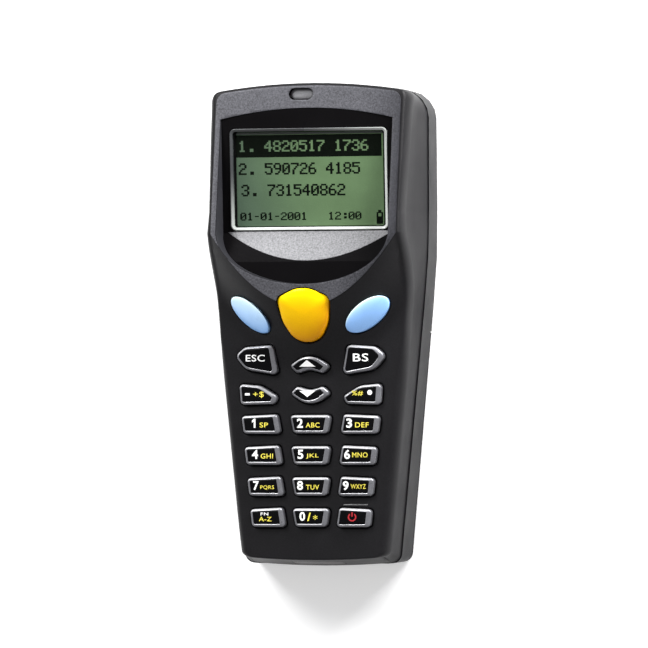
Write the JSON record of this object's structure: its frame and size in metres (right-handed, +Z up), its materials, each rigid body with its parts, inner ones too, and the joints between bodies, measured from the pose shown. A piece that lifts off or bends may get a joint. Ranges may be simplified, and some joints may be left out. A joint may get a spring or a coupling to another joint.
{
  "type": "portable barcode data terminal",
  "caption": "Hand-held data terminal with a recessed display under a raised ridge, a tapering keypad, a scan window at the head and a sliding battery cover.",
  "frame": {"origin": "under the middle of the body, on the flat back", "axes": "+Z up out of the keypad, +Y towards the scan end, +X to the right of someone reading the display"},
  "size_m": [0.056, 0.122, 0.032],
  "materials": {
    "shell_plastic": "fine even spark texture, satin",
    "black_gloss": "polished",
    "chin_silver": "satin silver paint",
    "lens_clear": "clear, polished",
    "lcd_green": "reflective green screen",
    "plate_grey": "satin grey metallic paint, fine texture",
    "white_plastic": "moulded",
    "light_grey": "frosted light guide",
    "board_green": "solder mask",
    "chip_black": "moulded",
    "mat_rubber": "silicone",
    "steel": "bright nickel",
    "scan_red": "dark red filter",
    "engine_grey": "moulded",
    "latch_grey": "moulded",
    "cell_wrap": "printed sleeve",
    "ir_black": "polished filter",
    "gold_plate": "gold plate",
    "key_yellow": "satin",
    "key_blue": "satin",
    "key_silver": "satin silver"
  },
  "bodies": {
    "housing": {"front_shell": "shell_plastic", "rear_shell": "shell_plastic", "display_bezel": "black_gloss", "chin_plate": "chin_silver", "display_lens": "lens_clear", "lcd_panel": "lcd_green", "lcd_frame": "white_plastic", "status_light": "light_grey", "head_plate": "plate_grey", "main_board": "board_green", "board_parts": "chip_black", "keypad_mat": "mat_rubber", "buzzer": "chip_black", "backup_cell": "steel", "scan_window": "scan_red", "scan_engine": "engine_grey", "engine_bracket": "steel", "battery_left": "cell_wrap", "battery_right": "cell_wrap", "contact_springs": "steel", "contact_plates": "steel", "housing_screws": "steel", "board_screws": "steel", "strap_pin": "steel", "ir_window": "ir_black", "charge_contacts": "gold_plate"},
    "battery_cover": {"battery_cover": "shell_plastic"},
    "cover_latch": {"cover_latch": "latch_grey"},
    "trigger_key": {"trigger_key": "key_yellow"},
    "enter_left": {"enter_left": "key_blue"},
    "enter_right": {"enter_right": "key_blue"},
    "escape_key": {"escape_key": "key_silver"},
    "backspace_key": {"backspace_key": "key_silver"},
    "up_key": {"up_key": "key_silver"},
    "down_key": {"down_key": "key_silver"},
    "minus_key": {"minus_key": "key_silver"},
    "percent_key": {"percent_key": "key_silver"},
    "number_1": {"number_1": "key_silver"},
    "number_2": {"number_2": "key_silver"},
    "number_3": {"number_3": "key_silver"},
    "number_4": {"number_4": "key_silver"},
    "number_5": {"number_5": "key_silver"},
    "number_6": {"number_6": "key_silver"},
    "number_7": {"number_7": "key_silver"},
    "number_8": {"number_8": "key_silver"},
    "number_9": {"number_9": "key_silver"},
    "alpha_key": {"alpha_key": "key_silver"},
    "number_0": {"number_0": "key_silver"},
    "power_key": {"power_key": "key_silver"}
  },
  "joints": [
    {"name": "trigger_key_press", "type": "slide", "parent": "housing", "child": "trigger_key", "axis": [0, 0, -1], "range_m": [0, 0.0008], "stiffness_N_per_m": 1200, "springref_m": -0.0004},
    {"name": "enter_left_press", "type": "slide", "parent": "housing", "child": "enter_left", "axis": [0, 0, -1], "range_m": [0, 0.0008], "stiffness_N_per_m": 1200, "springref_m": -0.0004},
    {"name": "enter_right_press", "type": "slide", "parent": "housing", "child": "enter_right", "axis": [0, 0, -1], "range_m": [0, 0.0008], "stiffness_N_per_m": 1200, "springref_m": -0.0004},
    {"name": "escape_key_press", "type": "slide", "parent": "housing", "child": "escape_key", "axis": [0, 0, -1], "range_m": [0, 0.0008], "stiffness_N_per_m": 800, "springref_m": -0.0004},
    {"name": "backspace_key_press", "type": "slide", "parent": "housing", "child": "backspace_key", "axis": [0, 0, -1], "range_m": [0, 0.0008], "stiffness_N_per_m": 800, "springref_m": -0.0004},
    {"name": "up_key_press", "type": "slide", "parent": "housing", "child": "up_key", "axis": [0, 0, -1], "range_m": [0, 0.0008], "stiffness_N_per_m": 800, "springref_m": -0.0004},
    {"name": "down_key_press", "type": "slide", "parent": "housing", "child": "down_key", "axis": [0, 0, -1], "range_m": [0, 0.0008], "stiffness_N_per_m": 800, "springref_m": -0.0004},
    {"name": "minus_key_press", "type": "slide", "parent": "housing", "child": "minus_key", "axis": [0, 0, -1], "range_m": [0, 0.0008], "stiffness_N_per_m": 800, "springref_m": -0.0004},
    {"name": "percent_key_press", "type": "slide", "parent": "housing", "child": "percent_key", "axis": [0, 0, -1], "range_m": [0, 0.0008], "stiffness_N_per_m": 800, "springref_m": -0.0004},
    {"name": "number_1_press", "type": "slide", "parent": "housing", "child": "number_1", "axis": [0, 0, -1], "range_m": [0, 0.0008], "stiffness_N_per_m": 800, "springref_m": -0.0004},
    {"name": "number_2_press", "type": "slide", "parent": "housing", "child": "number_2", "axis": [0, 0, -1], "range_m": [0, 0.0008], "stiffness_N_per_m": 800, "springref_m": -0.0004},
    {"name": "number_3_press", "type": "slide", "parent": "housing", "child": "number_3", "axis": [0, 0, -1], "range_m": [0, 0.0008], "stiffness_N_per_m": 800, "springref_m": -0.0004},
    {"name": "number_4_press", "type": "slide", "parent": "housing", "child": "number_4", "axis": [0, 0, -1], "range_m": [0, 0.0008], "stiffness_N_per_m": 800, "springref_m": -0.0004},
    {"name": "number_5_press", "type": "slide", "parent": "housing", "child": "number_5", "axis": [0, 0, -1], "range_m": [0, 0.0008], "stiffness_N_per_m": 800, "springref_m": -0.0004},
    {"name": "number_6_press", "type": "slide", "parent": "housing", "child": "number_6", "axis": [0, 0, -1], "range_m": [0, 0.0008], "stiffness_N_per_m": 800, "springref_m": -0.0004},
    {"name": "number_7_press", "type": "slide", "parent": "housing", "child": "number_7", "axis": [0, 0, -1], "range_m": [0, 0.0008], "stiffness_N_per_m": 800, "springref_m": -0.0004},
    {"name": "number_8_press", "type": "slide", "parent": "housing", "child": "number_8", "axis": [0, 0, -1], "range_m": [0, 0.0008], "stiffness_N_per_m": 800, "springref_m": -0.0004},
    {"name": "number_9_press", "type": "slide", "parent": "housing", "child": "number_9", "axis": [0, 0, -1], "range_m": [0, 0.0008], "stiffness_N_per_m": 800, "springref_m": -0.0004},
    {"name": "alpha_key_press", "type": "slide", "parent": "housing", "child": "alpha_key", "axis": [0, 0, -1], "range_m": [0, 0.0008], "stiffness_N_per_m": 800, "springref_m": -0.0004},
    {"name": "number_0_press", "type": "slide", "parent": "housing", "child": "number_0", "axis": [0, 0, -1], "range_m": [0, 0.0008], "stiffness_N_per_m": 800, "springref_m": -0.0004},
    {"name": "power_key_press", "type": "slide", "parent": "housing", "child": "power_key", "axis": [0, 0, -1], "range_m": [0, 0.0008], "stiffness_N_per_m": 800, "springref_m": -0.0004},
    {"name": "battery_cover_slide", "type": "slide", "parent": "housing", "child": "battery_cover", "axis": [0, -1, 0], "range_m": [0, 0.062]},
    {"name": "cover_latch_slide", "type": "slide", "parent": "housing", "child": "cover_latch", "axis": [1, 0, 0], "range_m": [0, 0.0024]}
  ]
}
